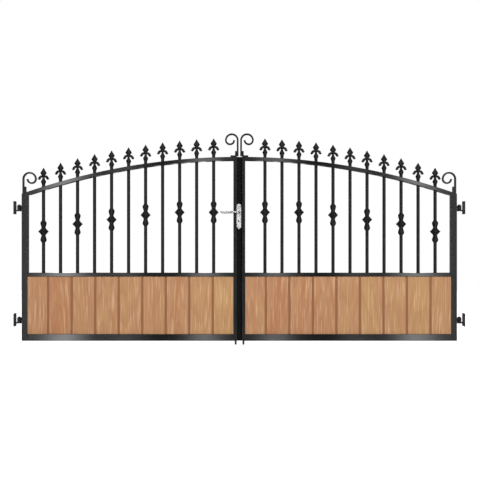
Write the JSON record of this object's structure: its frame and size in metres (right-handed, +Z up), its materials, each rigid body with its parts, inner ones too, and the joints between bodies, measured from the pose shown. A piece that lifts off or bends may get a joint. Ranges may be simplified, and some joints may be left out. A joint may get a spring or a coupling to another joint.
{
  "type": "arched steel and timber driveway gate pair",
  "caption": "Pair of arched black steel driveway gates with round bars, spear railheads, scrolls and collars over boarded timber panels, hung on bracket pins, with a lever and drop bolts.",
  "frame": {"origin": "middle of the post-side face of the lower left bracket's plate", "axes": "+X across the opening from the left post to the right post, +Y from the front to the rear, where the leaves open, +Z up"},
  "size_m": [3.05, 0.144, 1.437],
  "materials": {
    "black_steel": "gloss black coating over welded steel",
    "timber": "oiled softwood boards with V joints, vertical grain",
    "seal_rubber": "matt black rubber strip",
    "handle_steel": "satin stainless steel"
  },
  "bodies": {
    "post_brackets": {"bracket_left_low": "black_steel", "bracket_left_high": "black_steel", "bracket_right_low": "black_steel", "bracket_right_high": "black_steel"},
    "left_leaf": {"left_hinge_stile": "black_steel", "left_meeting_stile": "black_steel", "lock_stile": "black_steel", "meeting_seal": "seal_rubber", "left_arch_rail": "black_steel", "left_middle_rail": "black_steel", "left_bottom_rail": "black_steel", "left_bars": "black_steel", "left_collars": "black_steel", "left_railheads": "black_steel", "left_hinge_scroll": "black_steel", "left_meeting_scroll": "black_steel", "left_timber_panel": "timber", "left_panel_strips": "black_steel", "left_hinge_eyes": "black_steel", "left_bolt_guides": "black_steel", "handle_plates": "handle_steel"},
    "right_leaf": {"right_hinge_stile": "black_steel", "right_meeting_stile": "black_steel", "right_arch_rail": "black_steel", "right_middle_rail": "black_steel", "right_bottom_rail": "black_steel", "right_bars": "black_steel", "right_collars": "black_steel", "right_railheads": "black_steel", "right_hinge_scroll": "black_steel", "right_meeting_scroll": "black_steel", "right_timber_panel": "timber", "right_panel_strips": "black_steel", "right_hinge_eyes": "black_steel", "right_bolt_guides": "black_steel"},
    "lever": {"lever_handle": "handle_steel"},
    "left_bolt": {"left_drop_bolt": "black_steel"},
    "right_bolt": {"right_drop_bolt": "black_steel"}
  },
  "joints": [
    {"name": "left_leaf_hinge", "type": "hinge", "parent": "post_brackets", "child": "left_leaf", "pos_m": [0.033, 0, 0], "axis": [0, 0, 1], "range_deg": [0, 90]},
    {"name": "right_leaf_hinge", "type": "hinge", "parent": "post_brackets", "child": "right_leaf", "pos_m": [3.017, 0, 0], "axis": [0, 0, -1], "range_deg": [0, 90]},
    {"name": "lever_turn", "type": "hinge", "parent": "left_leaf", "child": "lever", "pos_m": [1.522, 0, 0.728], "axis": [0, -1, 0], "range_deg": [0, 40], "stiffness_Nm_per_rad": 1.5, "springref_deg": -34.38},
    {"name": "left_bolt_slide", "type": "slide", "parent": "left_leaf", "child": "left_bolt", "axis": [0, 0, 1], "range_m": [0, 0.15]},
    {"name": "right_bolt_slide", "type": "slide", "parent": "right_leaf", "child": "right_bolt", "axis": [0, 0, 1], "range_m": [0, 0.15]}
  ]
}
